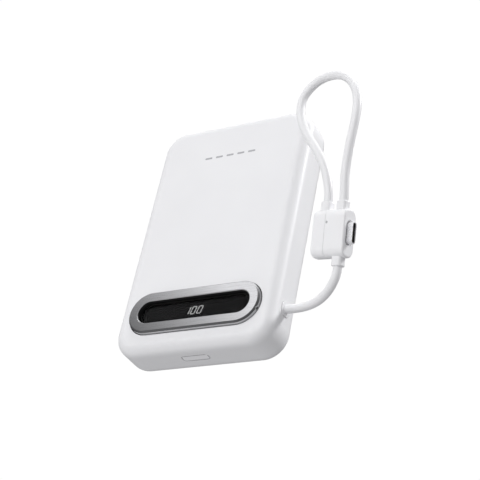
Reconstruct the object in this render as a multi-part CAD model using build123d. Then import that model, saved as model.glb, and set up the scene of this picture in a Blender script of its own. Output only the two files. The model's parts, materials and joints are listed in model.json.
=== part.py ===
from build123d import *
import math
import os

# Magnetic power bank with a captive USB-C cable that forms a carrying loop.
# Frame: the bank lies on its back.  +Z is the front (display) face's normal,
# +Y is the end away from the display, +X is the side the cable leaves from.
# The origin is the centre of the back face.  All sizes are in millimetres.
# In names, _R is a radius, _W, _L, _H and _T are sizes, _X, _Y and _Z are places.

# ---------------------------------------------------------------- shared dimensions
CASE_W, CASE_L, CASE_T = 70.0, 109.2, 18.4      # along X, Y and Z
CORNER_R = 10.1                     # plan corners
FRONT_EDGE_R, BACK_EDGE_R = 4.4, 5.6
WALL = 2.2                          # side wall
FACE = 1.6                          # front wall
COVER_T = 1.6                       # back cover
PAD_T = 0.5                         # soft pad inlaid in the back cover
END_Y = -CASE_L / 2                 # outer face of the display end
END_IN_Y = END_Y + WALL             # inner face of that end
FLOOR_Z = CASE_T - 3.4              # underside of the floor below the ring's pocket

RING_Y = -37.7                      # centre of the stand ring and the display
RING_W, RING_H = 58.2, 18.25        # ring outline at its base
OPENING_W, OPENING_H = 49.8, 9.86   # ring opening
RING_CHAMFER, OPENING_CHAMFER = 0.7, 0.28
RING_UP, RING_DOWN = 1.73, 0.70     # ring above and below the front face
RING_GAP = 0.4                      # gap round the ring in its pocket
POCKET = 0.95                       # pocket depth
HINGE_X = 14.0                      # hinges at +-HINGE_X
HINGE_Y = RING_Y + (OPENING_H + RING_H) / 4     # middle of the long bar
HINGE_Z = CASE_T + 0.3
TRENCH_R = 2.5                      # room for the bar to turn in
PIN_R, PIN_HALF = 0.5, 4.2          # hinge pin and half its length

MARK_XS = (-10.2, -5.1, 0.0, 5.1, 10.2)         # bars of the printed mark
MARK_W, MARK_H, MARK_Y, MARK_DEPTH = 3.4, 0.9, 36.4, 0.12

BTN_W, BTN_H, BTN_R = 11.6, 3.3, 1.2
BTN_FACE_Z = 10.4                   # centre of the button's face
BTN_Z = 11.0                        # its flange and stem sit higher, clear of the board
BTN_GAP = 0.18

CABLE_Y, CABLE_Z = -37.3, 10.0      # cable exit in the right side
CABLE_R = 1.7
HOLE_R = CABLE_R + 0.02

SCREW_X, SCREW_Y = 24.0, 46.6
COVER_SCREWS = [(sx * SCREW_X, sy * SCREW_Y) for sx in (-1, 1) for sy in (-1, 1)]
BOARD_SCREWS = [(-27.5, -33.0), (21.5, -31.7), (11.0, -47.0)]
INSERT_R, INSERT_TOP = 1.4, 6.7     # brass insert
BOARD_Z0, BOARD_Z1 = 8.2, 9.2       # back and front faces of the main board


# ------------------------------------------------------------------------- helpers
def save(name, shape):
    solids = shape.solids()
    out = solids[0] if len(solids) == 1 else Compound(children=list(solids))
    out.label = name
    export_step(out, "parts/" + name + ".step")


def group(items):
    return Compound(children=[s for item in items for s in item.solids()])


def slab(w, h, r, z0, z1, x=0.0, y=0.0):
    """Rounded-rectangle plate from z0 to z1."""
    return Pos(x, y, z0) * extrude(RectangleRounded(w, h, r), z1 - z0)


def case_slab(inset, z0, z1):
    """Plate of the case's outline, drawn in by inset."""
    return slab(CASE_W - 2 * inset, CASE_L - 2 * inset, CORNER_R - inset, z0, z1)


def slot(w, h, z0, z1, x=0.0, y=0.0):
    """Stadium plate from z0 to z1."""
    return Pos(x, y, z0) * extrude(SlotOverall(w, h), z1 - z0)


def ring_slot(w, h, z0, z1):
    """Stadium plate centred on the stand ring."""
    return slot(w, h, z0, z1, 0, RING_Y)


def pocket_slot(z0, z1):
    return ring_slot(RING_W + 2 * RING_GAP, RING_H + 2 * RING_GAP, z0, z1)


def block(x0, x1, y0, y1, z0, z1):
    return Pos((x0 + x1) / 2, (y0 + y1) / 2, (z0 + z1) / 2) * Box(x1 - x0, y1 - y0, z1 - z0)


def cyl(r, z0, z1, x=0.0, y=0.0):
    return Pos(x, y, (z0 + z1) / 2) * Cylinder(r, z1 - z0)


def cyl_x(r, x0, x1, y, z):
    return Pos((x0 + x1) / 2, y, z) * Rot(0, 90, 0) * Cylinder(r, x1 - x0)


def cyl_y(r, y0, y1, x, z):
    return Pos(x, (y0 + y1) / 2, z) * Rot(90, 0, 0) * Cylinder(r, y1 - y0)


def annulus(r_out, r_in, z0, z1, x=0.0, y=0.0):
    return cyl(r_out, z0, z1, x, y) - cyl(r_in, z0 - 1, z1 + 1, x, y)


def end_plate(w, h, r, y, z, depth):
    """Upright rounded plate reaching from y towards -Y."""
    return Pos(0, y, z) * Rot(90, 0, 0) * extrude(RectangleRounded(w, h, r), depth)


def hex_screw(x, y, head_r, head_z, shank_r, shank_z, socket_z):
    """Screw driven from the back; each _z is a (from, to) pair."""
    socket = extrude(RegularPolygon(0.6, 6), socket_z[1] - socket_z[0])
    return (cyl(head_r, *head_z, x, y) + cyl(shank_r, *shank_z, x, y)
            - Pos(x, y, socket_z[0]) * socket)


def top_edges(part, z, tol=1e-3):
    return [e for e in part.edges() if abs(e.center().Z - z) < tol
            and abs(e.bounding_box().max.Z - z) < tol]


def edges_at(part, limit, axis, place):
    """Edges whose bounding box has its "min" or "max" limit at a place on an axis."""
    return [e for e in part.edges()
            if abs(getattr(getattr(e.bounding_box(), limit), axis) - place) < 1e-3]


def tube(points, r, start_dir, end_dir, head=None, tail=None):
    """Round bar along a smooth curve, with optional straight ends."""
    knots = [Vector(*p) for p in points]
    curve = Spline(*knots, tangents=[Vector(*start_dir), Vector(*end_dir)])
    edges = [curve.edge()]
    if head is not None:
        edges.insert(0, Edge.make_line(Vector(*head), knots[0]))
    if tail is not None:
        edges.append(Edge.make_line(knots[-1], Vector(*tail)))
    path = Wire(edges)
    section = Plane(origin=path @ 0, z_dir=path % 0) * Circle(r)
    return sweep(section, path=path)


os.makedirs("parts", exist_ok=True)


# ---------------------------------------------------------------------------- case
def case_outer():
    body = case_slab(0, 0, CASE_T)
    body = fillet(top_edges(body, CASE_T), FRONT_EDGE_R)
    return fillet(top_edges(body, 0), BACK_EDGE_R)


def mark_bars(z1):
    z0 = CASE_T - MARK_DEPTH
    return [slot(MARK_W, MARK_H, z0, z1, x, MARK_Y) for x in MARK_XS]


def front_shell(outer):
    ceiling = CASE_T - FACE
    cavity = case_slab(WALL, -1, ceiling)
    cavity = fillet(top_edges(cavity, ceiling), FRONT_EDGE_R - FACE)
    shell = outer - cavity
    shell -= block(-CASE_W, CASE_W, -CASE_L, CASE_L, -1, COVER_T + 0.1)

    # thicker floor under the ring's pocket
    shell += ring_slot(61.4, 21.4, FLOOR_Z, ceiling + 0.4)

    # bosses, then the insert seats and screw holes in them
    for x, y in COVER_SCREWS:
        shell += cyl(2.2, COVER_T + 1.05, ceiling + 0.4, x, y)
    for x, y in BOARD_SCREWS:
        shell += cyl(1.9, BOARD_Z1 + 0.05, FLOOR_Z + 0.5, x, y)
    for x, y in COVER_SCREWS:
        shell -= cyl(INSERT_R, COVER_T, INSERT_TOP, x, y)
        shell -= cyl(0.85, 6.0, 9.5, x, y)
    for x, y in BOARD_SCREWS:
        shell -= cyl(0.75, 9.0, 13.4, x, y)

    # ring pocket, hinge trench, display opening and slots of the hinge brackets
    shell -= pocket_slot(CASE_T - POCKET, CASE_T + 3)
    trench = cyl_x(TRENCH_R, -27, 27, HINGE_Y, HINGE_Z) & pocket_slot(CASE_T - 4, CASE_T + 4)
    shell -= trench
    shell -= ring_slot(46.0, 6.0, CASE_T - 5, CASE_T + 3)
    for x in (-HINGE_X, HINGE_X):
        shell -= block(x - 2.1, x + 2.1, HINGE_Y - 0.65, HINGE_Y + 0.65, CASE_T - 5, CASE_T)

    # button opening in the display end
    shell -= end_plate(BTN_W + 2 * BTN_GAP, BTN_H + 2 * BTN_GAP, BTN_R + BTN_GAP,
                       END_IN_Y + 0.1, BTN_FACE_Z, WALL + 2)
    # grommet seat in the right side: through hole and shallow counterbore
    side_x = CASE_W / 2
    shell -= cyl_x(2.65, side_x - WALL - 1, side_x + 1, CABLE_Y, CABLE_Z)
    shell -= cyl_x(3.2, side_x - 0.5, side_x + 1, CABLE_Y, CABLE_Z)

    for bar in mark_bars(CASE_T + 1):
        shell -= bar
    return shell


def back_cover(outer):
    cover = outer & block(-CASE_W, CASE_W, -CASE_L, CASE_L, -1, COVER_T)
    rib = case_slab(WALL + 0.2, COVER_T - 0.3, COVER_T + 1.6)
    rib -= case_slab(WALL + 1.4, COVER_T - 1, COVER_T + 3)
    cover += rib
    for x, y in COVER_SCREWS:
        cover += cyl(2.6, COVER_T - 0.3, COVER_T + 1.0, x, y)
    cover -= slab(57.0, 97.0, 6.2, -1, PAD_T)
    for x, y in COVER_SCREWS:
        cover -= cyl(0.95, -1, COVER_T + 2, x, y)
        cover -= cyl(1.7, -1, 1.45, x, y)
    return cover


case_body = case_outer()
save("front_shell", front_shell(case_body))
save("front_mark", group(mark_bars(CASE_T + 0.01)))
save("back_cover", back_cover(case_body))
save("cover_screws", group([hex_screw(
    x, y, head_r=1.55, head_z=(0.62, 1.43), shank_r=0.8, shank_z=(1.3, 6.4),
    socket_z=(0.6, 1.1)) for x, y in COVER_SCREWS]))
save("brass_inserts", group([
    annulus(INSERT_R, 0.8, 2.7, INSERT_TOP, x, y) for x, y in COVER_SCREWS]))

# ------------------------------------------------- back pad, charging coil, magnets
COIL_Y = 10.0
BAR_Y = COIL_Y - 39.0               # alignment bar
COIL_R, COIL_Z0, COIL_Z1 = 21.0, 1.65, 2.45
MAGNET_Z0, MAGNET_Z1 = 1.62, 3.0
MAGNETS, MAGNET_GAP = 16, 28.0      # count; degrees left open towards -Y
MAGNET_MARGIN = 0.35                # degrees trimmed off each side of a magnet
LEAD_R, LEAD_END_Y = 0.38, -37.0    # coil leads


def back_pad():
    """Pad with the magnet ring and the alignment bar drawn as shallow grooves."""
    groove = 0.12
    pad = slab(56.7, 96.7, 6.05, 0, PAD_T)
    for r_out, r_in in ((27.9, 27.2), (23.6, 22.9)):
        pad -= annulus(r_out, r_in, -1, groove, 0, COIL_Y)
    bar = slot(13.4, 5.4, -1, groove) - slot(12.0, 4.0, -2, 1)
    return pad - Pos(0, BAR_Y, 0) * Rot(0, 0, 90) * bar


def charging_coil():
    """Flat winding with grooves between its turns on the front face."""
    coil = annulus(COIL_R, 10.5, COIL_Z0, COIL_Z1, 0, COIL_Y)
    for i in range(9):
        r = 11.6 + i * 1.03
        coil -= annulus(r + 0.09, r - 0.09, 2.25, 2.6, 0, COIL_Y)
    return coil


def magnet_segments():
    step = (360.0 - MAGNET_GAP) / MAGNETS
    band = annulus(27.5, 23.0, MAGNET_Z0, MAGNET_Z1, 0, COIL_Y)
    reach = 40                      # wedge sides, beyond the band
    magnets = []
    for i in range(MAGNETS):
        start = -90 + MAGNET_GAP / 2 + i * step + MAGNET_MARGIN
        angles = [math.radians(a) for a in (start, start + step - 2 * MAGNET_MARGIN)]
        corners = [(reach * math.cos(a), reach * math.sin(a)) for a in angles]
        wedge = make_face(Polyline((0, 0), *corners, close=True))
        magnets.append(band & (Pos(0, COIL_Y, 1) * extrude(wedge, 3)))
    return group(magnets)


def magnet_yoke():
    yoke = annulus(27.7, 22.8, 3.05, 3.4, 0, COIL_Y)
    return yoke - block(-5.6, 5.6, COIL_Y - 30, COIL_Y - 15, 2, 4)


def coil_lead(x):
    """Lead along -Y from the coil, then up to the main board."""
    z = (COIL_Z0 + COIL_Z1) / 2
    lead = cyl_y(LEAD_R, LEAD_END_Y, COIL_Y - COIL_R + 0.25, x, z)
    lead += Pos(x, LEAD_END_Y, z) * Sphere(LEAD_R)
    return lead + cyl(LEAD_R, z, BOARD_Z0, x, LEAD_END_Y)


save("back_pad", back_pad())
save("charging_coil", charging_coil())
save("ferrite_disc", cyl(22.2, 2.5, 3.15, 0, COIL_Y))
save("magnet_segments", magnet_segments())
save("magnet_yoke", magnet_yoke())
save("alignment_magnet", slab(5.4, 12.0, 0.6, MAGNET_Z0, MAGNET_Z1, 0, BAR_Y))
save("coil_leads", group([coil_lead(x) for x in (-4.3, 4.3)]))
save("heat_spreader", slab(56, 66, 3, 3.75, 4.15, 0, 9.0))

# -------------------------------------------------------------- folding stand ring
# section of the knuckle's clearance: (y, z) from the hinge axis
KNUCKLE_CUT = [(-0.85, 0.0), (-0.85, -3.0), (4.0, -3.0), (4.0, -0.2), (2.3, 0.25), (0.3, 1.05)]
SCOOP_DIR = (0.922, -0.387)         # from the centre of the ring's right end


def hinge_pin(x):
    return cyl_x(PIN_R, x - PIN_HALF, x + PIN_HALF, HINGE_Y, HINGE_Z)


def kickstand_ring():
    top = CASE_T + RING_UP
    ring = ring_slot(RING_W, RING_H, CASE_T - RING_DOWN, top)
    ring = chamfer(top_edges(ring, top), RING_CHAMFER)
    ring -= ring_slot(OPENING_W, OPENING_H, CASE_T - 2, CASE_T + 4)
    reach = OPENING_H / 2 + 0.05
    inner_top = [e for e in top_edges(ring, top)
                 if e.bounding_box().max.Y < RING_Y + reach
                 and e.bounding_box().min.Y > RING_Y - reach]
    ring = chamfer(inner_top, OPENING_CHAMFER)

    # fingernail scoop in the right end
    scoop_r = RING_H / 2 + 0.25
    ring -= Pos((RING_W - RING_H) / 2 + scoop_r * SCOOP_DIR[0],
                RING_Y + scoop_r * SCOOP_DIR[1], CASE_T + 0.75) * Sphere(0.85)

    # room for the hinge knuckles, and the bores of their pins
    for x in (-HINGE_X, HINGE_X):
        x0, x1 = x - 2.2, x + 2.2
        ring -= cyl_x(1.1, x0, x1, HINGE_Y, HINGE_Z)
        plane = Plane(origin=(x0, HINGE_Y, HINGE_Z), x_dir=(0, 1, 0), z_dir=(1, 0, 0))
        ring -= extrude(make_face(plane * Polyline(*KNUCKLE_CUT, close=True)), x1 - x0)
        ring -= hinge_pin(x)
    return ring


def kickstand_bracket(x):
    """Knuckle on a web, with a foot plate under the floor."""
    half = 2.0
    bracket = cyl_x(0.95, x - half, x + half, HINGE_Y, HINGE_Z)
    bracket += block(x - half, x + half, HINGE_Y - 0.6, HINGE_Y + 0.6, FLOOR_Z - 0.8, HINGE_Z)
    bracket += block(x - 4.0, x + 4.0, HINGE_Y - 2.6, HINGE_Y + 1.5,
                     FLOOR_Z - 0.85, FLOOR_Z - 0.05)
    return bracket - cyl_x(PIN_R + 0.04, x - 5, x + 5, HINGE_Y, HINGE_Z)


save("kickstand_ring", kickstand_ring())
save("kickstand_pins", group([hinge_pin(x) for x in (-HINGE_X, HINGE_X)]))
save("kickstand_brackets", group([kickstand_bracket(x) for x in (-HINGE_X, HINGE_X)]))

# ------------------------------------------------------------------------- display
WINDOW_TOP = CASE_T + 0.2
MODULE_TOP = CASE_T - 0.95
DIGIT_H, DIGIT_W = 3.15, 1.7
STROKE = 0.27                       # width of a segment
SLANT = 0.27                        # shift in x per unit of y
SEGMENT_GAP = 0.05                  # segment's end to the digit's corner
LIT = {"0": "abcdef", "1": "bc"}    # segments that show a digit
DIGITS = [("1", -4.3), ("0", -1.6), ("0", 1.2)]     # digit, x of its left side


def display_frame():
    frame = ring_slot(OPENING_W - 1.1, OPENING_H - 1.1, CASE_T - POCKET + 0.05, CASE_T + 0.25)
    frame += ring_slot(45.7, 5.7, FLOOR_Z + 0.1, CASE_T - POCKET + 0.2)
    frame -= ring_slot(OPENING_W - 2.3, OPENING_H - 2.3, CASE_T - 0.62, CASE_T + 1)
    return frame - slab(42.9, 4.2, 0.5, FLOOR_Z - 1, CASE_T, 0, RING_Y)


def display_window():
    window = ring_slot(OPENING_W - 2.5, OPENING_H - 2.5, CASE_T - 0.6, WINDOW_TOP)
    return chamfer(top_edges(window, WINDOW_TOP), 0.12)


def segment(start, end, left):
    """Slanted bar with pointed ends, between two points of an upright digit."""
    (ax, ay), (bx, by) = start, end
    length = math.hypot(bx - ax, by - ay)
    half = STROKE / 2
    ux, uy = (bx - ax) / length * half, (by - ay) / length * half     # half a stroke along
    px, py = -uy, ux                                                  # and across
    outline = [(ax, ay), (ax + ux + px, ay + uy + py), (bx - ux + px, by - uy + py),
               (bx, by), (bx - ux - px, by - uy - py), (ax + ux - px, ay + uy - py)]
    y_mid = RING_Y - 0.05
    outline = [(x + left + SLANT * (y - DIGIT_H / 2), y + y_mid - DIGIT_H / 2)
               for x, y in outline]
    return Pos(0, 0, MODULE_TOP) * extrude(make_face(Polyline(*outline, close=True)), 0.25)


def display_segments():
    w, h, g = DIGIT_W, DIGIT_H, SEGMENT_GAP
    ends = {
        "a": ((g, h), (w - g, h)), "d": ((g, 0), (w - g, 0)),
        "f": ((0, h / 2 + g), (0, h - g)), "b": ((w, h / 2 + g), (w, h - g)),
        "e": ((0, g), (0, h / 2 - g)), "c": ((w, g), (w, h / 2 - g)),
    }
    return group([segment(*ends[key], left) for digit, left in DIGITS for key in LIT[digit]])


def display_flex():
    """Strip under the module, down to the main board and along it."""
    half_w, y0, y1 = 4, RING_Y - 1.6, RING_Y - 1.45
    top = FLOOR_Z + 0.18
    return (block(-half_w, half_w, y0, RING_Y + 1.6, FLOOR_Z + 0.02, top)
            + block(-half_w, half_w, y0, y1, BOARD_Z1 + 0.1, top)
            + block(-half_w, half_w, RING_Y - 3.0, y1, BOARD_Z1 + 0.02, BOARD_Z1 + 0.2))


save("display_frame", display_frame())
save("display_window", display_window())
save("display_module", slab(42.5, 3.9, 0.3, FLOOR_Z + 0.2, MODULE_TOP, 0, RING_Y))
save("display_segments", display_segments())
save("display_flex", display_flex())

# -------------------------------------------------------------------- power button
STEM_Y = END_IN_Y + 1.8             # where the button's stem meets the plunger


def power_button():
    button = end_plate(BTN_W, BTN_H, BTN_R, END_IN_Y + 0.12, BTN_FACE_Z, WALL + 0.12)
    button = fillet(edges_at(button, "max", "Y", END_Y), 0.22)
    button += end_plate(13.4, 5.8, 1.6, END_IN_Y + 1.05, BTN_Z, 1.0)     # flange
    return button + cyl_y(1.4, END_IN_Y + 0.5, STEM_Y, 0, BTN_Z)


save("power_button", power_button())
save("power_switch_plunger", cyl_y(0.8, STEM_Y, STEM_Y + 1.2, 0, BTN_Z))
save("power_switch_body", block(-3.0, 3.0, STEM_Y + 0.6, STEM_Y + 4.1, BOARD_Z1, 12.8)
     - cyl_y(0.86, STEM_Y, STEM_Y + 1.75, 0, BTN_Z))


# ---------------------------------------------------------------------- main board
def main_pcb():
    board = slab(57.0, 21.0, 5.0, BOARD_Z0, BOARD_Z1, -3.0, -39.9)
    for holes, r in ((COVER_SCREWS, 2.6), (BOARD_SCREWS, 0.85)):
        for x, y in holes:
            board -= cyl(r, 8, 10, x, y)
    return board


def chip(x, y, w, h, t, front=True):
    """Box on the board's front or back face."""
    z0, z1 = (BOARD_Z1, BOARD_Z1 + t) if front else (BOARD_Z0 - t, BOARD_Z0)
    return block(x - w / 2, x + w / 2, y - h / 2, y + h / 2, z0, z1)


def inductor(x, y, side, t):
    """Square body on the board's back face."""
    return slab(side, side, 0.8, BOARD_Z0 - t, BOARD_Z0, x, y)


save("main_pcb", main_pcb())
save("pcb_screws", group([hex_screw(
    x, y, head_r=1.5, head_z=(7.3, BOARD_Z0), shank_r=0.75, shank_z=(8.1, 13.2),
    socket_z=(7.2, 7.8)) for x, y in BOARD_SCREWS]))
# x, y, side, thickness
save("inductors", group([inductor(*row) for row in (
    (-20.0, -39.5, 7.0, 4.2), (-11.5, -39.5, 7.0, 4.2), (9.5, -38.5, 5.0, 3.2))]))
# x, y, width, height, thickness, on the front face
save("controller_chips", group([chip(*row) for row in (
    (-18.5, -41.5, 5.0, 5.0, 0.9, True), (-10.5, -42.5, 4.0, 4.0, 0.9, True),
    (9.5, -41.5, 6.0, 6.0, 0.9, True), (-1.5, -45.5, 3.0, 3.0, 0.8, False))]))
save("power_transistors", group([chip(-18.5 + 5 * i, -34.2, 3.2, 3.4, 1.0) for i in range(4)]))
save("capacitors", group(
    [chip(-26.0, -42.0 + 2.2 * i, 3.2, 1.6, 1.5) for i in range(3)]
    + [chip(1.0 + 2.4 * i, -33.2, 1.6, 3.2, 1.5) for i in range(3)]
    + [chip(16.0, -44.0 + 1.6 * i, 2.0, 1.0, 1.0) for i in range(3)]))

# --------------------------------------------------------------------------- cells
CELL_Y0, CELL_Y1 = -22.0, 43.3
CELL_HALF_W, CELL_T = 29, 5.8
LIP_HALF_T = 0.5                    # sealed lip at the -Y end of a cell
BACK_CELL_Z = 4.3                   # back faces of the two cells
FRONT_CELL_Z = 10.3
BACK_CELL_TOP = BACK_CELL_Z + CELL_T
FRONT_CELL_TOP = FRONT_CELL_Z + CELL_T
TAB_Y = CELL_Y0 - 2.6               # cell tabs, protection board and thermistor
PROTECTION_Z0, PROTECTION_Z1 = 9.9, 10.6
THERM_X, THERM_Z = 21.5, 9.8


def pouch(z0):
    z1 = z0 + CELL_T
    y_mid, z_mid = (CELL_Y0 + CELL_Y1) / 2, (z0 + z1) / 2
    cell = block(-CELL_HALF_W, CELL_HALF_W, CELL_Y0, CELL_Y1, z0, z1)
    cell = fillet([e for e in cell.edges() if abs(e.center().X) > CELL_HALF_W - 0.1
                   and abs(e.center().Y - y_mid) < 1], 1.4)
    cell = fillet([e for e in cell.edges() if e.center().Y > CELL_Y1 - 0.01
                   or e.center().Y < CELL_Y0 + 0.01], 0.6)
    return cell + block(-27, 27, CELL_Y0 - 4.2, CELL_Y0 + 1.0,
                        z_mid - LIP_HALF_T, z_mid + LIP_HALF_T)


def cell_tabs():
    """Strips between the cells' lips and the protection board."""
    back_z0 = BACK_CELL_Z + CELL_T / 2 + LIP_HALF_T
    front_z1 = FRONT_CELL_Z + CELL_T / 2 - LIP_HALF_T
    return group([block(x - 2, x + 2, TAB_Y - 0.1, TAB_Y + 0.1, z0, z1) for x in (-12.0, 12.0)
                  for z0, z1 in ((back_z0, PROTECTION_Z0), (PROTECTION_Z1, front_z1))])


def cell_cradle():
    """Frame round the cells, open in the wall beside the main board for wiring."""
    cradle = block(-31.0, 31.0, -28.4, 45.0, BACK_CELL_Z, 15.0)
    cradle -= block(-29.3, 29.3, -26.8, 43.55, 4, 16)
    cradle -= block(-10, 10, -30, -26, 8.0, 12.0)
    cradle -= block(THERM_X - 2, THERM_X + 2, -30, -26, 8.4, 11.0)
    for x in (-SCREW_X, SCREW_X):
        cradle -= cyl(2.45, 4, 16, x, SCREW_Y)
    return cradle


def thermistor():
    bead = Pos(THERM_X, TAB_Y, THERM_Z) * Sphere(0.8)
    for dx in (-0.35, 0.35):
        bead += cyl_y(0.16, -29.6, TAB_Y, THERM_X + dx, THERM_Z)
    return bead


save("cell_back", pouch(BACK_CELL_Z))
save("cell_front", pouch(FRONT_CELL_Z))
save("cell_adhesive_pad", slab(50, 56, 2, BACK_CELL_TOP, FRONT_CELL_Z, 0, 10.6))
save("cell_foam_pad", slab(52, 58, 2, FRONT_CELL_TOP, CASE_T - FACE - 0.05, 0, 11.0))
save("cell_protection_board", slab(40, 3.0, 0.3, PROTECTION_Z0, PROTECTION_Z1, 0, TAB_Y))
save("cell_tabs", cell_tabs())
save("cell_cradle", cell_cradle())
save("thermistor", thermistor())

# ----------------------------------------------------------- connector block's frame
# Local x runs along the block's width, y along its cables, z through it.
BLOCK = Plane(origin=(55.98, -14.08, 21.0), x_dir=(0.98030, -0.16775, 0.10426),
              z_dir=(-0.15585, -0.33275, 0.93005))
BLOCK_W, BLOCK_H, BLOCK_T = 15.0, 18.2, 7.3     # along local x, y and z
BLOCK_R = 3.1                       # rounding of the long edges
SEAM_X = -1.2                       # where the plug head meets the keeper
HEAD_FACE_X = SEAM_X - 0.1          # the head's side of the seam
HEAD_X, KEEPER_X = -3.35, 3.7       # cable axes in the head and in the keeper
CABLE_END = 5.95                    # cables stop this far from the middle
COLLAR_SIDE, COLLAR_IN, COLLAR_OUT = 4.2, 7.0, 12.3
SHELL_W, SHELL_T = 8.34, 2.56       # USB-C plug shell
SHELL_WALL = 0.3
SHELL_BASE = -3.0
SHELL_TIP = BLOCK_W / 2 + 2.2
CATCH_X, CATCH_Y, CATCH_R, CATCH_Z = SEAM_X + 0.68, 3.8, 0.52, 2.5


def to_world(x, y, z):
    v = BLOCK.from_local_coords(Vector(x, y, z))
    return (v.X, v.Y, v.Z)


def save_on_block(name, shape):
    save(name, BLOCK.location * shape)


# --------------------------------------------------------------- cable at the case
# cable axis from the case's side to the keeper, x, y, z
LEAD_POINTS = [
    (37.5, CABLE_Y, CABLE_Z), (42.73, -37.28, 10.32), (45.84, -37.02, 10.86),
    (48.97, -36.34, 11.67), (51.45, -35.33, 12.55), (53.65, -33.9, 13.54),
    (55.4, -32.2, 14.5), (56.77, -30.23, 15.42), (57.71, -28.02, 16.32),
    to_world(KEEPER_X, -COLLAR_OUT - 0.1, 0)]
# core wires: y and z offsets from the cable's axis, y at the board
CORE_WIRES = [(-0.75, -0.6, -40.2), (-0.75, 0.6, -38.6), (0.75, 0.6, -37.0), (0.75, -0.6, -35.4)]


def cable_bore():
    return cyl_x(HOLE_R, 20, 50, CABLE_Y, CABLE_Z)


def cable_grommet():
    side_x = CASE_W / 2
    in_x = side_x - WALL - 0.05
    grommet = cyl_x(3.12, side_x - 0.5, side_x + 0.35, CABLE_Y, CABLE_Z)
    grommet = fillet(edges_at(grommet, "min", "X", side_x + 0.35), 0.3)
    grommet += cyl_x(2.6, in_x, side_x, CABLE_Y, CABLE_Z)
    grommet += cyl_x(3.7, in_x - 1.2, in_x, CABLE_Y, CABLE_Z)
    return grommet - cable_bore()


def cable_anchor():
    anchor = Pos(30.0, CABLE_Y, CABLE_Z) * Box(2.6, 7.4, 7.0)
    return fillet(anchor.edges().filter_by(Axis.X), 1.0) - cable_bore()


def cable_lead():
    along = BLOCK.y_dir
    return tube(LEAD_POINTS, CABLE_R, (1, 0, 0), (along.X, along.Y, along.Z),
                head=(27.5, CABLE_Y, CABLE_Z), tail=to_world(KEEPER_X, -CABLE_END, 0))


def core_wire(dy, dz, y_end):
    points = [(27.4, CABLE_Y + dy, CABLE_Z + dz),
              (23.6, (CABLE_Y + dy + y_end) / 2, CABLE_Z + 0.1 * dz), (20.0, y_end, 9.85)]
    return tube(points, 0.42, (-1, 0, 0), (-1, 0, 0))


save("cable_grommet", cable_grommet())
save("cable_anchor", cable_anchor())
save("cable_lead", cable_lead())
save("cable_core_wires", group([core_wire(*row) for row in CORE_WIRES]))


# ----------------------------------------------------------------- connector block
def bar_x(w, t, x0, x1, r=None):
    """Rounded bar along local x: w in y, t in z; nearly round sides by default."""
    r = t / 2 - 0.01 if r is None else r
    section = Plane(origin=(x0, 0, 0), x_dir=(0, 1, 0), z_dir=(1, 0, 0)) * RectangleRounded(w, t, r)
    return extrude(section, x1 - x0)


def collar_blank(x, side):
    """Square strain relief; side is -1 or 1 for the block's end in local y."""
    blank = Pos(x, side * (COLLAR_IN + COLLAR_OUT) / 2, 0) * Box(
        COLLAR_SIDE, COLLAR_OUT - COLLAR_IN, COLLAR_SIDE)
    return fillet(blank.edges().filter_by(Axis.Y), 1.15)


def collar(x, side):
    body = collar_blank(x, side)
    body = fillet([e for e in body.edges()
                   if abs(e.center().Y - side * COLLAR_OUT) < 1e-3], 0.45)
    return body - cyl_y(HOLE_R, -20, 20, x, 0)


def keeper_core():
    """Frame round the plug's slot that joins the two cables."""
    return (block(KEEPER_X - 0.4, KEEPER_X + 1.2, -CABLE_END, CABLE_END, -2.45, 2.45)
            - block(KEEPER_X - 1, KEEPER_X + 2, -4.85, 4.85, -1.75, 1.75))


def keeper_body(core):
    """Moulded on the cable, with a slot the plug pushes through."""
    end_x = BLOCK_W / 2
    body = bar_x(BLOCK_H, BLOCK_T, SEAM_X, end_x, BLOCK_R)
    body = fillet(edges_at(body, "min", "X", end_x), 0.75)
    body -= bar_x(10.1, 4.6, SEAM_X - 1, 3.15, 1.2)                     # nose pocket
    body -= bar_x(SHELL_W + 0.4, SHELL_T + 0.4, 0, 20)                  # shell slot
    body -= bar_x(SHELL_W + 1.5, SHELL_T + 1.5, end_x - 0.35, 20)       # recess at its mouth
    body -= collar_blank(KEEPER_X, -1) + collar_blank(KEEPER_X, 1)
    body -= (cyl_y(CABLE_R, -8, -CABLE_END, KEEPER_X, 0)
             + cyl_y(CABLE_R, CABLE_END, 8, KEEPER_X, 0))
    body -= core
    return body - cyl(CATCH_R, CATCH_Z, 6, CATCH_X, CATCH_Y)


def plug_head():
    head = bar_x(BLOCK_H, BLOCK_T, -BLOCK_W / 2, HEAD_FACE_X, BLOCK_R)
    head = fillet(edges_at(head, "max", "X", -BLOCK_W / 2), 1.6)
    head += bar_x(9.8, 4.3, HEAD_FACE_X - 1, 3.05, 1.1)                 # nose
    head -= bar_x(SHELL_W, SHELL_T, SHELL_BASE, 20)
    head -= block(-6.4, SHELL_BASE, -4.2, CABLE_END, -1.0, 1.0)         # room for the board
    head -= collar_blank(HEAD_X, 1)
    return head - cyl_y(CABLE_R, CABLE_END, 8, HEAD_X, 0)


def shell_inside(x0, x1):
    return bar_x(SHELL_W - 2 * SHELL_WALL, SHELL_T - 2 * SHELL_WALL, x0, x1)


def plug_shell():
    shell = bar_x(SHELL_W, SHELL_T, SHELL_BASE, SHELL_TIP)
    shell = fillet(edges_at(shell, "min", "X", SHELL_TIP), 0.2)
    return shell - shell_inside(SHELL_BASE - 1, 20)


def plug_contacts():
    """Two rows of twelve contacts, 0.5 apart."""
    contacts = []
    for z0, z1 in ((-0.55, -0.43), (0.43, 0.55)):
        for i in range(12):
            y = (i - 5.5) * 0.5
            contacts.append(block(4.6, SHELL_TIP - 0.7, y - 0.13, y + 0.13, z0, z1))
    return group(contacts)


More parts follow.
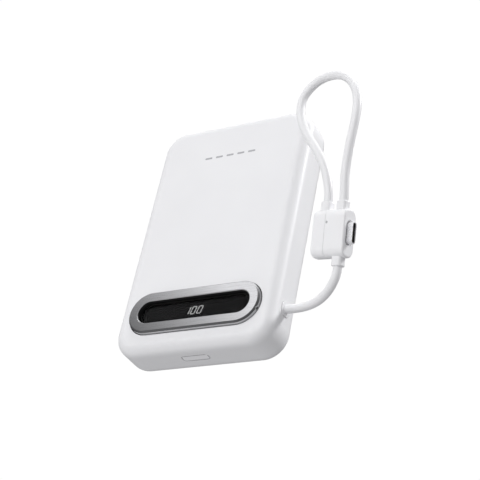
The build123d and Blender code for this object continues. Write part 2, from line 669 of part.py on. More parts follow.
core = keeper_core()
save_on_block("keeper_body", keeper_body(core))
save_on_block("keeper_core_wires", core)
save_on_block("keeper_catch_pin", cyl(CATCH_R, CATCH_Z, BLOCK_T / 2 - 0.12, CATCH_X, CATCH_Y))
save_on_block("keeper_lower_collar", collar(KEEPER_X, -1))
save_on_block("keeper_upper_collar", collar(KEEPER_X, 1))
save_on_block("plug_head", plug_head())
save_on_block("plug_collar", collar(HEAD_X, 1))
save_on_block("plug_shell", plug_shell())
save_on_block("plug_insulator", shell_inside(SHELL_BASE, SHELL_TIP - 0.35)
              - bar_x(6.9, 1.1, 4.4, 20, 0.3))
save_on_block("plug_contacts", plug_contacts())
save_on_block("plug_circuit_board", block(-6.2, -3.05, -4.0, 5.8, -0.35, 0.35))

# Carrying loop: leaves the keeper beside the head, turns round and comes back to the
# plug.  Cable axis in the block's frame, x, y, z.
LOOP_POINTS = [
    (KEEPER_X, 13.4, 0), (3.25, 20.0, -0.05), (3.05, 28.2, -0.5), (3.4, 36.1, -1.2),
    (3.7, 44.2, -2.4), (2.7, 52.7, -4.1), (0.2, 58.3, -5.4), (-3.3, 62.2, -6.5),
    (-7.4, 64.7, -7.1), (-12.0, 65.5, -7.4), (-17.3, 64.5, -7.1), (-21.6, 61.3, -6.2),
    (-23.9, 56.7, -5.0), (-23.6, 51.2, -3.8), (-21.2, 45.4, -2.6), (-16.5, 39.0, -1.6),
    (-11.3, 32.8, -0.9), (-7.2, 26.7, -0.4), (-4.6, 20.4, -0.1), (HEAD_X, 13.4, 0)]
save_on_block("loop_cable", tube(LOOP_POINTS, CABLE_R, (0, 1, 0), (0, -1, 0),
                                 head=(KEEPER_X, CABLE_END, 0), tail=(HEAD_X, CABLE_END, 0)))
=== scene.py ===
"""Looks, cables and studio for a small charger with a captive cable.

The case has a display window, a side button and a stadium-shaped ring stand that folds into a
recess on the +Z side of the front shell. The ring's long axis runs along X. A lead leaves the
case along +X and ends in a tilted block: a keeper and the plug it holds, joined by a carrying loop.
Units are metres; the cable paths are in millimetres.
"""
import json
import math

import bpy
import numpy as np
from mathutils import Matrix, Vector


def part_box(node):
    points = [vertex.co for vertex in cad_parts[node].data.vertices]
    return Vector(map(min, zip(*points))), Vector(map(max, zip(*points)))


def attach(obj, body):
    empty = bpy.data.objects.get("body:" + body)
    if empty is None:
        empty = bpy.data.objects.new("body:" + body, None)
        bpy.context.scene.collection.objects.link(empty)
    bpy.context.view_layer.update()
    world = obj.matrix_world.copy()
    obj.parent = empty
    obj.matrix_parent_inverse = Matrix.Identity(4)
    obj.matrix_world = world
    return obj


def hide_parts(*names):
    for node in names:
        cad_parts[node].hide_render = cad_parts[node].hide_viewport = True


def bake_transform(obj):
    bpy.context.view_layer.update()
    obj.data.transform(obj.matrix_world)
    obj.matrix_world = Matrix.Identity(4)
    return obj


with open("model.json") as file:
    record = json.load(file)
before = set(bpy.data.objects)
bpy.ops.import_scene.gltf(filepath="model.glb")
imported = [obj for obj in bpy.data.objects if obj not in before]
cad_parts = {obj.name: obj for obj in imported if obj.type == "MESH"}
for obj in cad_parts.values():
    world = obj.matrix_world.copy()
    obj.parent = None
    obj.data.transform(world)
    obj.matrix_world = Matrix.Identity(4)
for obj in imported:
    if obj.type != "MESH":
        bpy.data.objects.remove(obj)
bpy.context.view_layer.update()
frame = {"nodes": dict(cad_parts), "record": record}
nodes = frame["nodes"]
scene = bpy.context.scene
MM = 0.001

# ------------------------------------------------------------------ places
SHELL_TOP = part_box("front_shell")[1].z
ring_lo, ring_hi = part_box("kickstand_ring")
RING_Y = (ring_lo.y + ring_hi.y) / 2
RING_RADIUS = (ring_hi.y - ring_lo.y) / 2
RING_HALF_LINE = (ring_hi.x - ring_lo.x) / 2 - RING_RADIUS  # half the stadium's middle line
RING_INNER_REACH = 0.007    # nearer the middle line than this is the ring's inner edge

RECESS_GAP = 0.00052        # recess wall beyond the ring's outline
RECESS_LIP = 0.00016        # the painted shade in the recess starts this far below the shell's top
RECESS_DEPTH = 0.0033       # and ends here

BUTTON_HALF_WIDTH = 0.0058  # along X
BUTTON_HALF_HEIGHT = 0.00165
BUTTON_Z = 0.0104
BUTTON_RIM = 0.0002

WHITE = (0.80, 0.80, 0.815)
MIDDLE = (0.3, 0.7)         # the span most noise values fall in


# ------------------------------------------------------------ node helpers
def put(tree, socket, value):
    """Link a socket into an input, or set a plain value on it."""
    if isinstance(value, bpy.types.NodeSocket):
        tree.links.new(value, socket)
    else:
        socket.default_value = value


def add_node(tree, kind, *inputs, **named):
    """New node; inputs go in by position or by name, with _ for a space."""
    node = tree.nodes.new(kind)
    for index, value in enumerate(inputs):
        put(tree, node.inputs[index], value)
    for name, value in named.items():
        put(tree, node.inputs[name.replace("_", " ")], value)
    return node


def shade(colour, factor):
    return tuple(max(0.0, min(1.0, x * factor)) for x in colour)


class Look:
    """A node material built on a Principled shader."""

    def __init__(self, name):
        self.name = name
        self.material = bpy.data.materials.new(name)
        self.material.use_nodes = True
        self.tree = self.material.node_tree
        self.principled = self.tree.nodes["Principled BSDF"]
        self.surface = self.tree.nodes["Material Output"].inputs["Surface"]
        self.coords = self.node("ShaderNodeTexCoord").outputs["Object"]

    def node(self, kind, *inputs, **named):
        return add_node(self.tree, kind, *inputs, **named)

    def set(self, **named):
        """Feed Principled inputs with sockets or values."""
        for name, value in named.items():
            put(self.tree, self.principled.inputs[name.replace("_", " ")], value)

    def subsurface(self, weight):
        self.set(Subsurface_Weight=weight, Subsurface_Radius=(1.0, 0.95, 0.9),
                 Subsurface_Scale=0.0008)

    def noise(self, scale, detail=3.0, rough=0.5, vector=None):
        return self.node("ShaderNodeTexNoise", Scale=scale, Detail=detail, Roughness=rough,
                         Vector=vector or self.coords).outputs["Fac"]

    def stretched_noise(self, stretch, detail, rough):
        vector = self.node("ShaderNodeMapping", Scale=stretch, Vector=self.coords)
        return self.noise(1.0, detail, rough, vector.outputs["Vector"])

    def remap(self, value, to, span=(0.0, 1.0)):
        """Map the span onto the range `to`, clamped."""
        return self.node("ShaderNodeMapRange", Value=value, From_Min=span[0], From_Max=span[1],
                         To_Min=to[0], To_Max=to[1]).outputs["Result"]

    def mix(self, factor, first, second):
        """Blend two colours; the first may be a socket."""
        node = self.node("ShaderNodeMix", factor)
        node.data_type = "RGBA"
        first = first if isinstance(first, bpy.types.NodeSocket) else (*first, 1)
        put(self.tree, node.inputs[6], first)
        put(self.tree, node.inputs[7], (*second, 1))
        return node.outputs[2]

    def tone(self, factor, base, low, high):
        """A colour that runs from low to high times the base."""
        return self.mix(factor, shade(base, low), shade(base, high))

    def paint(self, mask, colour):
        """Lay a colour over the base colour where the mask is 1."""
        old = self.principled.inputs["Base Color"].links[0].from_socket
        self.set(Base_Color=self.mix(mask, old, colour))

    def bump(self, height, strength, distance):
        return self.node("ShaderNodeBump", Strength=strength, Distance=distance,
                         Height=height).outputs["Normal"]

    def xyz(self, vector=None):
        return tuple(self.node("ShaderNodeSeparateXYZ", vector or self.coords).outputs)

    def math(self, operation, *inputs):
        node = self.node("ShaderNodeMath", *inputs)
        node.operation = operation
        return node.outputs[0]

    def add(self, a, b):
        return self.math("ADD", a, b)

    def minus(self, a, b):
        return self.math("SUBTRACT", a, b)

    def times(self, a, b):
        return self.math("MULTIPLY", a, b)

    def above(self, a, b):
        return self.math("GREATER_THAN", a, b)

    def below(self, a, b):
        return self.math("LESS_THAN", a, b)

    def size(self, a):
        return self.math("ABSOLUTE", a)

    def squares(self, a, b):
        return self.add(self.times(a, a), self.times(b, b))

    def invert(self, mask):
        return self.minus(1.0, mask)

    def choose(self, mask, inside, outside):
        return self.add(self.times(mask, inside), self.times(self.invert(mask), outside))


def from_ring_line(look):
    """Distance in XY from the ring's middle line, and the height z."""
    x, y, z = look.xyz()
    along = look.minus(look.size(look.minus(x, 0.0)), RING_HALF_LINE)
    along = look.math("MAXIMUM", along, 0.0)
    across = look.minus(y, RING_Y)
    return look.math("SQRT", look.squares(along, across)), z


# --------------------------------------------------------------- materials
def soft_plastic(name, base, rough, subsurface=0.05):
    """Moulded plastic with a fine soft-touch grain and faint cloudiness."""
    look = Look(name)
    cloud = look.remap(look.noise(scale=45.0, detail=2.0), (0, 1), MIDDLE)
    grain = look.noise(scale=7000.0, detail=2.0, rough=0.6)
    look.set(Base_Color=look.tone(cloud, base, low=0.988, high=1.012),
             Roughness=look.remap(grain, (rough - 0.05, rough + 0.05), MIDDLE),
             Normal=look.bump(grain, strength=0.35, distance=0.000012),
             Specular_IOR_Level=0.45)
    if subsurface:
        look.subsurface(subsurface)
    return look


def case_plastic(name, base, rough):
    """Case plastic with painted shade: the recess the ring folds into is painted near black and
    loses its specular.
    """
    look = soft_plastic(name, base, rough)
    distance, z = from_ring_line(look)
    inside = look.below(distance, RING_RADIUS + RECESS_GAP)
    low = look.times(look.below(z, SHELL_TOP - RECESS_LIP),
                     look.above(z, SHELL_TOP - RECESS_DEPTH))
    # painted shade: the recess below its lip is painted near black, without specular
    recess_painted_shade = look.times(inside, low)
    look.paint(recess_painted_shade, (0.012, 0.012, 0.013))
    look.set(Specular_IOR_Level=look.times(look.invert(recess_painted_shade), 0.5))
    return look


def button_plastic(name, base, rough):
    """Case plastic whose rim is painted darker as shade of the gap around the button."""
    look = soft_plastic(name, base, rough)
    x, _, z = look.xyz()
    past_x = look.minus(look.size(x), BUTTON_HALF_WIDTH - BUTTON_RIM)
    past_z = look.minus(look.size(look.minus(z, BUTTON_Z)), BUTTON_HALF_HEIGHT - BUTTON_RIM)
    # painted shade: the button's rim is painted grey for the shadow of the gap around it
    painted_rim_shade = look.above(look.math("MAXIMUM", past_x, past_z), 0.0)
    look.paint(painted_rim_shade, (0.38, 0.38, 0.39))
    return look


def rubber(name, base, rough=0.5, grain=2500.0, depth=0.000004):
    """Satin elastomer with a fine skin."""
    look = Look(name)
    cloud = look.remap(look.noise(scale=120.0, detail=2.0), (0, 1), MIDDLE)
    skin = look.noise(scale=grain, detail=3.0, rough=0.55)
    look.set(Base_Color=look.tone(cloud, base, low=0.985, high=1.01),
             Roughness=look.remap(skin, (rough - 0.012, rough + 0.012), MIDDLE),
             Normal=look.bump(skin, strength=0.2, distance=depth),
             Specular_IOR_Level=0.4)
    look.subsurface(0.0)
    return look


def metal(name, base, rough, stretch=(60, 6000, 6000), metallic=1.0):
    """Drawn or brushed metal; streaks run along the axis with the smallest stretch."""
    look = Look(name)
    lines = look.stretched_noise(stretch, detail=4.0, rough=0.6)
    tone = look.times(lines, look.noise(scale=300.0, detail=3.0))
    tone = look.remap(tone, (0, 1), (0.12, 0.38))
    look.set(Base_Color=look.tone(tone, base, low=0.94, high=1.06),
             Roughness=look.remap(lines, (rough - 0.07, rough + 0.08), MIDDLE),
             Normal=look.bump(lines, strength=0.3, distance=0.000006),
             Metallic=metallic)
    return look


def board(name, base):
    """Solder-masked circuit board with a brick pattern of lines."""
    look = Look(name)
    bricks = look.node("ShaderNodeTexBrick", Vector=look.coords, Scale=260.0, Mortar_Size=0.03,
                       Color1=(*shade(base, 1.0), 1), Color2=(*shade(base, 1.25), 1),
                       Mortar=(*shade(base, 0.55), 1))
    look.set(Base_Color=bricks.outputs["Color"], Roughness=0.3,
             Normal=look.bump(look.noise(scale=900.0), strength=0.2, distance=0.00003))
    return look


def speckled(name, base, rough, spread=0.25):
    """Ceramic, epoxy, foam or ferrite: speckle and small pits."""
    look = Look(name)
    pits = look.node("ShaderNodeTexVoronoi", Scale=2500.0, Vector=look.coords)
    speckle = look.noise(scale=1500.0, detail=3.0)
    look.set(Base_Color=look.tone(speckle, base, low=1 - spread, high=1 + spread),
             Normal=look.bump(pits.outputs["Distance"], strength=0.3, distance=0.00004),
             Roughness=look.remap(speckle, (rough - 0.1, rough + 0.1), MIDDLE))
    return look


def foil(name, base):
    """Laminated pouch foil: soft wrinkles in thin aluminium."""
    look = Look(name)
    wrinkles = look.noise(scale=180.0, detail=4.0)
    look.set(Base_Color=look.tone(wrinkles, base, low=0.9, high=1.08),
             Normal=look.bump(wrinkles, strength=0.5, distance=0.0003),
             Roughness=look.remap(wrinkles, (0.22, 0.4)),
             Metallic=0.9)
    return look


def smooth_black(name, base, rough, specular):
    """Near-black surface with a weak, even reflection."""
    look = Look(name)
    grain = look.noise(scale=4000.0, detail=2.0)
    look.set(Base_Color=look.tone(grain, base, low=0.8, high=1.3),
             Roughness=look.remap(grain, (rough - 0.03, rough + 0.04)),
             Specular_IOR_Level=specular)
    return look


def smoked_glass(name, tint):
    """Smoked window: dark tint, thin polished reflection."""
    look = Look(name)
    clear = look.node("ShaderNodeBsdfTransparent", Color=(*tint, 1))
    smear = look.noise(scale=220.0, detail=3.0)
    polish = look.node("ShaderNodeBsdfGlossy", Color=(0.95, 0.95, 0.97, 1),
                       Roughness=look.remap(smear, (0.03, 0.09)))
    fresnel = look.node("ShaderNodeFresnel", IOR=1.28)
    mixed = look.node("ShaderNodeMixShader", look.times(fresnel.outputs["Fac"], 0.2),
                      clear.outputs["BSDF"], polish.outputs["BSDF"])
    put(look.tree, look.surface, mixed.outputs["Shader"])
    return look


def glowing(name, base, strength):
    """Lit segment: diffusing resin, slightly uneven glow."""
    look = Look(name)
    uneven = look.noise(scale=3000.0, detail=2.0)
    look.set(Base_Color=look.tone(uneven, base, low=0.9, high=1.0),
             Emission_Color=look.tone(uneven, base, low=0.92, high=1.0),
             Emission_Strength=look.remap(uneven, (strength * 0.9, strength * 1.1), MIDDLE))
    return look


# painted light on the ring's face: a tone slope per metre along X and Y, kept in a range, then a
# contrast power
RING_SLOPE_X, RING_SLOPE_Y = 6.3, 7.8
RING_TONE_MIDDLE, RING_TONE_MIN, RING_TONE_MAX = 0.611, 0.39, 0.755
RING_CONTRAST = 2.25
# limits on the normal's z that tell face, side wall and back apart; the rest is chamfer
FACE_ABOVE, WALL_BELOW, BACK_BELOW = 0.93, 0.4, -0.3
RING_INNER_TONE = RING_BACK_TONE = 0.42


def ring_metal(name):
    """Satin brushed ring with painted light: its face is painted brighter towards +X +Y, its outer
    chamfer and outer wall get a painted tone that follows the way they face along Y, and its inner
    wall is painted dark as shade.
    """
    look = Look(name)
    lines = look.stretched_noise((90, 9000, 9000), detail=5.0, rough=0.65)

    x, y, _ = look.xyz()
    # painted light: the face is painted brighter towards +X and +Y
    slope = look.add(look.times(x, RING_SLOPE_X),
                     look.times(look.minus(y, RING_Y), RING_SLOPE_Y))
    tone = look.math("MAXIMUM", look.add(slope, RING_TONE_MIDDLE), RING_TONE_MIN)
    tone = look.math("MINIMUM", tone, RING_TONE_MAX)
    streak = look.remap(lines, (0.90, 1.10), (0.35, 0.65))
    face = look.times(look.math("POWER", tone, RING_CONTRAST), streak)

    geometry = look.node("ShaderNodeNewGeometry")
    normal = look.node("ShaderNodeVectorTransform", Vector=geometry.outputs["True Normal"])
    normal.vector_type = "NORMAL"
    normal.convert_from, normal.convert_to = "WORLD", "OBJECT"
    _, normal_y, normal_z = look.xyz(normal.outputs["Vector"])
    is_face = look.above(normal_z, FACE_ABOVE)
    is_wall = look.below(look.size(normal_z), WALL_BELOW)
    is_back = look.below(normal_z, BACK_BELOW)
    distance, _ = from_ring_line(look)
    is_inner = look.below(distance, RING_INNER_REACH)

    # painted light: the outer chamfer is painted lighter where it faces +Y, the outer wall darker
    # where it faces +Y
    outer_chamfer_painted_light = look.remap(normal_y, (0.12, 0.36), (-0.1, 0.6))
    chamfer = look.choose(is_inner, RING_INNER_TONE, outer_chamfer_painted_light)
    outer_wall_painted_light = look.remap(normal_y, (0.62, 0.40), (-0.9, 0.9))
    # painted shade: the inner wall is painted nearly black
    wall = look.times(outer_wall_painted_light, look.invert(look.times(is_inner, 0.96)))
    edge = look.choose(is_wall, wall, chamfer)
    grey = look.choose(is_face, face, edge)
    grey = look.add(look.times(look.invert(is_back), grey),
                    look.times(is_back, look.times(streak, RING_BACK_TONE)))
    colour = look.node("ShaderNodeCombineColor", grey, grey, look.times(grey, 1.025))

    rough = look.add(look.remap(lines, (0.24, 0.36), MIDDLE),
                     look.times(look.invert(is_face), 0.2))
    look.set(Base_Color=colour.outputs[0], Roughness=rough,
             Normal=look.bump(lines, strength=0.25, distance=0.000006),
             Metallic=look.invert(look.times(is_wall, 0.85)))
    return look


LOOKS = {look.name: look for look in (
    case_plastic("case_white", WHITE, rough=0.44),
    soft_plastic("cover_white", shade(WHITE, 0.985), rough=0.40),
    rubber("pad_silicone", shade(WHITE, 0.90), rough=0.62, grain=3500.0, depth=0.00003),
    soft_plastic("mark_print", (0.40, 0.40, 0.42), rough=0.5, subsurface=0),
    ring_metal("ring_metal"),
    metal("hinge_steel", (0.50, 0.50, 0.52), rough=0.3),
    smooth_black("frame_black", (0.002, 0.002, 0.002), rough=0.3, specular=0.06),
    smoked_glass("window_glass", tint=(0.56, 0.56, 0.562)),
    smooth_black("display_black", (0.003, 0.003, 0.003), rough=0.3, specular=0.08),
    glowing("segment_white", (0.90, 0.90, 0.89), strength=1.15),
    soft_plastic("flex_amber", (0.70, 0.36, 0.07), rough=0.3, subsurface=0),
    button_plastic("button_white", shade(WHITE, 1.07), rough=0.40),
    speckled("switch_black", (0.03, 0.03, 0.03), rough=0.5),
    soft_plastic("switch_plunger_red", (0.55, 0.08, 0.06), rough=0.4, subsurface=0),
    board("board_green", (0.02, 0.16, 0.085)),
    speckled("chip_black", (0.03, 0.03, 0.035), rough=0.55),
    speckled("choke_grey", (0.16, 0.16, 0.17), rough=0.6),
    speckled("capacitor_tan", (0.50, 0.40, 0.27), rough=0.5, spread=0.12),
    foil("cell_foil", (0.70, 0.71, 0.73)),
    speckled("foam_grey", (0.17, 0.17, 0.18), rough=0.85),
    metal("nickel", (0.62, 0.59, 0.54), rough=0.3),
    speckled("cradle_black", (0.045, 0.045, 0.05), rough=0.5, spread=0.15),
    soft_plastic("thermistor_blue", (0.04, 0.10, 0.34), rough=0.25, subsurface=0),
    metal("spreader_aluminium", (0.75, 0.75, 0.77), rough=0.35),
    metal("coil_copper", (0.75, 0.36, 0.18), rough=0.3),
    speckled("ferrite_black", (0.07, 0.07, 0.075), rough=0.6),
    metal("magnet_nickel", (0.66, 0.66, 0.68), rough=0.15),
    metal("yoke_steel", (0.42, 0.42, 0.44), rough=0.35),
    metal("screw_steel", (0.26, 0.26, 0.28), rough=0.3),
    metal("insert_brass", (0.74, 0.55, 0.22), rough=0.3),
    rubber("wire_white", (0.74, 0.74, 0.75)),
    rubber("cable_white", (0.83, 0.83, 0.842), rough=0.40),
    rubber("grommet_white", shade(WHITE, 0.97), rough=0.45),
    rubber("collar_white", (0.85, 0.85, 0.862), rough=0.45),
    soft_plastic("block_white", (0.88, 0.88, 0.893), rough=0.38),
    metal("catch_grey", (0.56, 0.56, 0.57), rough=0.45),
    # satin plating: part of the light is scattered
    metal("shell_steel", (0.86, 0.86, 0.875), rough=0.30, stretch=(4000, 60, 4000), metallic=0.45),
    speckled("insulator_black", (0.012, 0.012, 0.014), rough=0.5),
    metal("contact_gold", (0.85, 0.62, 0.25), rough=0.2),
)}

slot_of = {part["node"]: part["material_slot"] for part in frame["record"]["subparts"]}
for name, obj in nodes.items():
    obj.data.materials.clear()
    obj.data.materials.append(LOOKS[slot_of[name]].material)

# ------------------------------------------------------------------ cables
# The real cables bend when the block swings or the plug is pulled; here they are smooth tubes along
# the CAD centrelines. The block's own frame: X towards the plug's mouth, Y along its cables.
BLOCK_CENTRE = Vector((55.98, -14.08, 21.0))
BLOCK_X = Vector((0.98030, -0.16775, 0.10426)).normalized()
BLOCK_Z = Vector((-0.15585, -0.33275, 0.93005)).normalized()
BLOCK_Y = BLOCK_Z.cross(BLOCK_X).normalized()


def from_block(x, y, z):
    return BLOCK_CENTRE + BLOCK_X * x + BLOCK_Y * y + BLOCK_Z * z


CABLE_RADIUS = 0.0017       # metres
KEEPER_CABLE_X = 3.7        # block frame: where the cables enter the keeper
PLUG_CABLE_X = -3.35        # and the plug
CABLE_END_Y = 5.95          # cables end this far from the block's centre, inside it
LEAD_COLLAR_Y = -12.4
LOOP_COLLAR_Y = 13.4

LEAD_START = Vector((27.5, -37.3, 10.0))
LEAD_EXIT = Vector((37.5, -37.3, 10.0))
LEAD_COLLAR = from_block(KEEPER_CABLE_X, LEAD_COLLAR_Y, 0)
# x, y, z of the lead between the case and the keeper's collar
LEAD = [LEAD_EXIT, (42.73, -37.28, 10.32), (45.84, -37.02, 10.86), (48.97, -36.34, 11.67),
        (51.45, -35.33, 12.55), (53.65, -33.9, 13.54), (55.4, -32.2, 14.5),
        (56.77, -30.23, 15.42), (57.71, -28.02, 16.32), LEAD_COLLAR]

# x, y, z of the loop in the block's frame, from the keeper round to the plug
LOOP_SPLIT = (-23.9, 56.7, -5.0)
LOOP = [(KEEPER_CABLE_X, LOOP_COLLAR_Y, 0), (3.25, 20.0, -0.05), (3.05, 28.2, -0.5),
        (3.4, 36.1, -1.2), (3.7, 44.2, -2.4), (2.7, 52.7, -4.1), (0.2, 58.3, -5.4),
        (-3.3, 62.2, -6.5), (-7.4, 64.7, -7.1), (-12.0, 65.5, -7.4), (-17.3, 64.5, -7.1),
        (-21.6, 61.3, -6.2), LOOP_SPLIT, (-23.6, 51.2, -3.8), (-21.2, 45.4, -2.6),
        (-16.5, 39.0, -1.6), (-11.3, 32.8, -0.9), (-7.2, 26.7, -0.4), (-4.6, 20.4, -0.1),
        (PLUG_CABLE_X, LOOP_COLLAR_Y, 0)]
LAP_RINGS = 8               # rings over which a lapped end thins
LAP_THINNING = 0.02


def spline(points, start_way, end_way, step=0.4):
    """Smooth cubic through the points (C2, chord-length knots), sampled about every step."""
    p = np.array([tuple(point) for point in points], float)
    count = len(p)
    gaps = np.linalg.norm(np.diff(p, axis=0), axis=1)
    knots = np.concatenate([[0.0], np.cumsum(gaps)])
    h = np.diff(knots)
    system = np.zeros((count, count))
    target = np.zeros((count, 3))
    system[0, 0] = system[-1, -1] = 1.0
    target[0], target[-1] = np.array(start_way, float), np.array(end_way, float)
    for i in range(1, count - 1):
        system[i, i - 1] = h[i]
        system[i, i] = 2 * (h[i - 1] + h[i])
        system[i, i + 1] = h[i - 1]
        target[i] = 3 * (h[i] * (p[i] - p[i - 1]) / h[i - 1]
                         + h[i - 1] * (p[i + 1] - p[i]) / h[i])
    slopes = np.linalg.solve(system, target)
    out = []
    for i in range(count - 1):
        pieces = max(2, int(round(h[i] / step)))
        for j in range(pieces):
            u = j / pieces
            out.append((2 * u**3 - 3 * u**2 + 1) * p[i]
                       + (u**3 - 2 * u**2 + u) * h[i] * slopes[i]
                       + (-2 * u**3 + 3 * u**2) * p[i + 1]
                       + (u**3 - u**2) * h[i] * slopes[i + 1])
    out.append(p[-1])
    return [Vector(point) for point in out]


def line(start, end, step=1.2):
    """Points from start up to, but without, end."""
    pieces = max(1, int(round((end - start).length / step)))
    return [start.lerp(end, i / pieces) for i in range(pieces)]


def tube(name, path, sides=48, lap_start=0, lap_end=0):
    """Closed round cable along a path in mm, with flat ends; a lapped end thins over its rings."""
    points = [point * MM for point in path]
    # a ring close to each end keeps the shading of the cap off the tube
    points.insert(1, points[0].lerp(points[1], 0.02))
    points.insert(len(points) - 1, points[-1].lerp(points[-2], 0.02))
    last = len(points) - 1
    verts, faces = [], []
    side = None
    for i, point in enumerate(points):
        along = (points[min(i + 1, last)] - points[max(i - 1, 0)]).normalized()
        if side is None:
            side = along.orthogonal().normalized()
        side = (side - along * side.dot(along)).normalized()
        up = along.cross(side)
        thin = max(1 - i / lap_start if lap_start else 0,
                   1 - (last - i) / lap_end if lap_end else 0, 0)
        radius = CABLE_RADIUS * (1 - LAP_THINNING * thin)
        for k in range(sides):
            turn = 2 * math.pi * k / sides
            verts.append(point + (side * math.cos(turn) + up * math.sin(turn)) * radius)
    for i in range(last):
        for k in range(sides):
            a, b = i * sides + k, i * sides + (k + 1) % sides
            faces.append((a, b, b + sides, a + sides))
    faces.append(tuple(reversed(range(sides))))
    faces.append(tuple(range(last * sides, (last + 1) * sides)))
    mesh = bpy.data.meshes.new(name)
    mesh.from_pydata([tuple(vert) for vert in verts], [], faces)
    mesh.validate()
    mesh.shade_smooth()
    for cap in (len(faces) - 2, len(faces) - 1):
        mesh.polygons[cap].use_smooth = False
    obj = bpy.data.objects.new(name, mesh)
    scene.collection.objects.link(obj)
    mesh.materials.append(LOOKS["cable_white"].material)
    return obj


def build_lead():
    """Lead from inside the case to inside the keeper."""
    end = from_block(KEEPER_CABLE_X, -CABLE_END_Y, 0)
    path = line(LEAD_START, LEAD_EXIT) + spline(LEAD, (1, 0, 0), BLOCK_Y)
    path += line(LEAD_COLLAR, end)[1:] + [end]
    lead = tube("lead_cable", path)
    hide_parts("cable_lead")
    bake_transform(lead)


def build_loop():
    """Carrying loop: one part stays with the keeper, the other runs on to the plug."""
    path = spline([from_block(*point) for point in LOOP], BLOCK_Y, -BLOCK_Y)
    split_point = from_block(*LOOP_SPLIT)
    split = min(range(len(path)), key=lambda i: (path[i] - split_point).length)
    keeper_end = line(from_block(KEEPER_CABLE_X, CABLE_END_Y, 0), path[0])
    plug_end = line(from_block(PLUG_CABLE_X, CABLE_END_Y, 0), path[-1])[::-1]
    # the two parts overlap by four path points either side of the split
    keeper_part = tube("loop_keeper_part", keeper_end + path[:split + 5], lap_end=LAP_RINGS)
    plug_part = tube("loop_plug_part", path[split - 4:] + plug_end, lap_start=LAP_RINGS)
    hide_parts("loop_cable")
    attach(keeper_part, "keeper")
    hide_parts("loop_cable")
    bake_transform(plug_part)


def paint_shade_at_keeper_opening(gap=0.00030, depth=0.0006):
    """Painted shade: a dark edge on the keeper's opening, for the shadow in the gap around the
    steel shell.
    """
    look = LOOKS["block_white"]
    origin = BLOCK_CENTRE * MM

    def extent(node, axis):
        along = [(vert.co - origin).dot(axis) for vert in nodes[node].data.vertices]
        return min(along), max(along)

    def block_axis(axis, zero):
        node = look.node("ShaderNodeVectorMath", look.coords, axis)
        node.operation = "DOT_PRODUCT"
        return look.minus(node.outputs["Value"], origin.dot(axis) + zero)

    y_lo, y_hi = extent("plug_shell", BLOCK_Y)
    z_lo, z_hi = extent("plug_shell", BLOCK_Z)
    mouth = extent("keeper_body", BLOCK_X)[1]
    shell_radius = (z_hi - z_lo) / 2
    y = look.minus(look.size(block_axis(BLOCK_Y, (y_lo + y_hi) / 2)),
                   (y_hi - y_lo) / 2 - shell_radius)
    y = look.math("MAXIMUM", y, 0.0)
    z = block_axis(BLOCK_Z, (z_lo + z_hi) / 2)
    distance = look.math("SQRT", look.squares(y, z), 0.0)
    # painted shade on the keeper's face around the shell's opening
    painted_rim_shade = look.times(look.below(distance, shell_radius + gap),
                     look.above(block_axis(BLOCK_X, mouth), -depth))
    look.paint(painted_rim_shade, (0.05, 0.05, 0.052))


build_lead()
build_loop()
paint_shade_at_keeper_opening()

# ------------------------------------------------------------------ camera
CAMERA_PLACE = Vector((0.262807, -0.282627, 0.369030))
CAMERA_AXES = (             # its right, its up, and the way behind it
    (0.863147, 0.179647, -0.471915),
    (0.130390, 0.823582, 0.552006),
    (0.487827, -0.537996, 0.687448),
)


def build_camera():
    data = bpy.data.cameras.new("camera")
    camera = bpy.data.objects.new("camera", data)
    scene.collection.objects.link(camera)
    data.sensor_width = 36.0
    data.lens = 98.97
    data.clip_start, data.clip_end = 0.01, 50.0
    pose = Matrix(CAMERA_AXES).transposed().to_4x4()
    pose.translation = CAMERA_PLACE
    camera.matrix_world = pose
    scene.camera = camera


# ------------------------------------------------------------------- light
WORLD_STRENGTH = 0.47
PATCH_STRENGTH = 0.02
PATCH_WAY = Vector((-0.25, 0.30, -0.92)).normalized()
PATCH_FADE = (0.70, 0.90)   # cosine of the angle from PATCH_WAY: patch edge, full dark

# name: direction from the origin, distance, (width, height), watts
LIGHTS = {
    "front_box": ((-0.45, 0.35, 0.82), 1.3, (0.9, 0.9), 2.33),
    "frontal_box": ((0.0, 0.1, 1.0), 1.3, (0.8, 0.8), 6.6),
    "side_key": ((0.62, 0.74, -0.34), 1.2, (0.17, 0.23), 10.2),
    "low_left_fill": ((-0.55, -0.75, 0.2), 1.2, (0.6, 0.6), 1.9),
    "top_box": ((0.0, 1.0, 0.2), 1.2, (0.6, 0.6), 6.0),
}


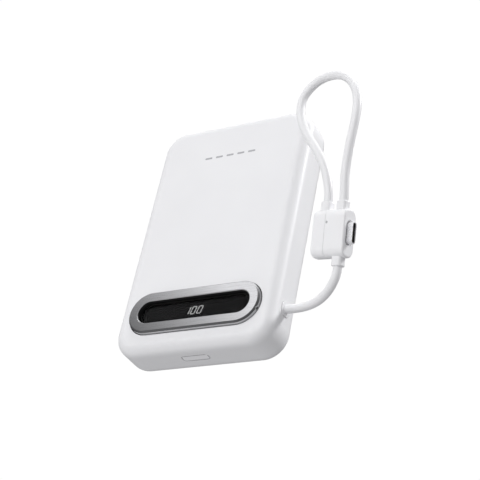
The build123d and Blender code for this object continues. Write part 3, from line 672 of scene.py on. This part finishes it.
def build_world():
    """Even surround, with a dark patch behind the object that its receding edges mirror."""
    scene.view_settings.view_transform = "Standard"
    scene.view_settings.look = "None"
    world = bpy.data.worlds.new("studio")
    scene.world = world
    world.use_nodes = True
    tree = world.node_tree
    background = tree.nodes["Background"]
    coords = add_node(tree, "ShaderNodeTexCoord").outputs["Generated"]
    facing = add_node(tree, "ShaderNodeVectorMath", coords, PATCH_WAY)
    facing.operation = "DOT_PRODUCT"
    patch = add_node(tree, "ShaderNodeMapRange", Value=facing.outputs["Value"],
                     From_Min=PATCH_FADE[0], From_Max=PATCH_FADE[1],
                     To_Min=WORLD_STRENGTH, To_Max=PATCH_STRENGTH)
    patch.interpolation_type = "SMOOTHSTEP"
    put(tree, background.inputs["Strength"], patch.outputs["Result"])
    background.inputs["Color"].default_value = (0.985, 0.985, 1.0, 1)


def softbox(name, way, distance, size, power):
    """Area light aimed at the origin."""
    data = bpy.data.lights.new(name, "AREA")
    data.shape = "RECTANGLE"
    data.size, data.size_y = size
    data.energy = power
    light = bpy.data.objects.new(name, data)
    scene.collection.objects.link(light)
    light.location = Vector(way).normalized() * distance
    light.rotation_mode = "QUATERNION"
    light.rotation_quaternion = (-light.location).to_track_quat("-Z", "Y")


def build_floor(half=15, z=-0.9):
    """Plain near-white sheet, well below the object, seen only by the camera."""
    look = Look("floor")
    colour = look.mix(look.noise(scale=0.6, detail=2.0), (0.995, 0.995, 0.995), (1.0, 1.0, 1.0))
    glow = look.node("ShaderNodeEmission", Color=colour, Strength=1.02)
    put(look.tree, look.surface, glow.outputs["Emission"])
    mesh = bpy.data.meshes.new("floor")
    corners = [(-half, -half, z), (half, -half, z), (half, half, z), (-half, half, z)]
    mesh.from_pydata(corners, [], [(0, 1, 2, 3)])
    floor = bpy.data.objects.new("floor", mesh)
    scene.collection.objects.link(floor)
    mesh.materials.append(look.material)
    floor.visible_diffuse = False
    floor.visible_glossy = False
    floor.visible_shadow = False


build_camera()
build_world()
for name, light in LIGHTS.items():
    softbox(name, *light)
build_floor()
